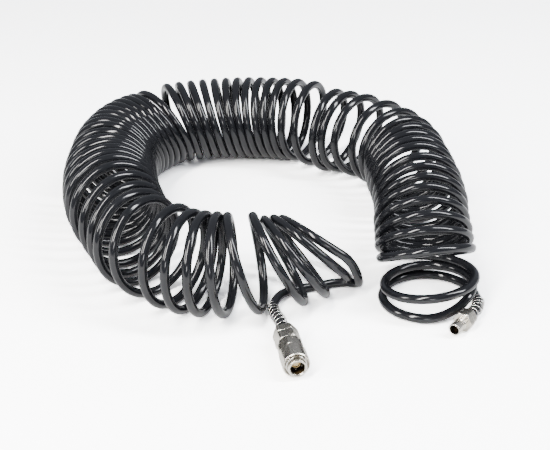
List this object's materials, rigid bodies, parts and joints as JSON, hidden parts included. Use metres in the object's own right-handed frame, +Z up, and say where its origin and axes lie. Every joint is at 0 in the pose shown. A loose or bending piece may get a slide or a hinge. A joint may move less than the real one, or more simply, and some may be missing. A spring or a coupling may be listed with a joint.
{
  "type": "coiled air hose",
  "caption": "Black recoil air hose bunched in an open ring on the floor, with a quick coupler socket on one end and a plug on the other.",
  "frame": {"origin": "centre of the bounding box, on the floor", "axes": "+Z up; -Y the way the socket's mouth faces, along its axis; +X to the right for someone who looks into the socket's mouth, towards the plug's side"},
  "size_m": [0.3737, 0.475, 0.0904],
  "materials": {
    "plastic_coil": "glossy black polyurethane",
    "plastic_end_loops": "glossy black polyurethane",
    "plastic_open_turns": "glossy black polyurethane",
    "plastic_fallen_loops": "glossy black polyurethane",
    "nickel_body": "nickel plated, turned",
    "nickel_sleeve": "nickel plated, turned",
    "nickel_adapter": "nickel plated, turned and milled",
    "nickel_socket_nut": "nickel plated, turned",
    "nickel_plug": "nickel plated, turned and milled",
    "nickel_plug_nut": "nickel plated, turned and milled",
    "brass_valve": "turned brass",
    "rubber_seal": "moulded rubber",
    "steel_balls": "polished steel",
    "steel_springs": "bright spring wire"
  },
  "bodies": {
    "hose": {"hose_coil": "plastic_coil", "hose_end_loops": "plastic_end_loops", "hose_open_turns": "plastic_open_turns", "hose_fallen_loops": "plastic_fallen_loops", "socket_body": "nickel_body", "socket_adapter": "nickel_adapter", "socket_hose_nut": "nickel_socket_nut", "socket_stop_ring": "steel_springs", "socket_sleeve_spring": "steel_springs", "socket_valve_spring": "steel_springs", "socket_seal": "rubber_seal", "socket_spring_guard": "steel_springs", "locking_ball_1": "steel_balls", "locking_ball_2": "steel_balls", "locking_ball_3": "steel_balls", "locking_ball_4": "steel_balls", "locking_ball_5": "steel_balls", "locking_ball_6": "steel_balls", "plug_body": "nickel_plug", "plug_hose_nut": "nickel_plug_nut", "plug_spring_guard": "steel_springs"},
    "sleeve": {"socket_sleeve": "nickel_sleeve"},
    "valve": {"socket_valve": "brass_valve"}
  },
  "joints": [
    {"name": "sleeve_slide", "type": "slide", "parent": "hose", "child": "sleeve", "axis": [0, 1, 0], "range_m": [0, 0.003], "stiffness_N_per_m": 1500, "springref_m": -0.004},
    {"name": "valve_slide", "type": "slide", "parent": "hose", "child": "valve", "axis": [0, 1, 0], "range_m": [0, 0.003], "stiffness_N_per_m": 800, "springref_m": -0.003}
  ]
}
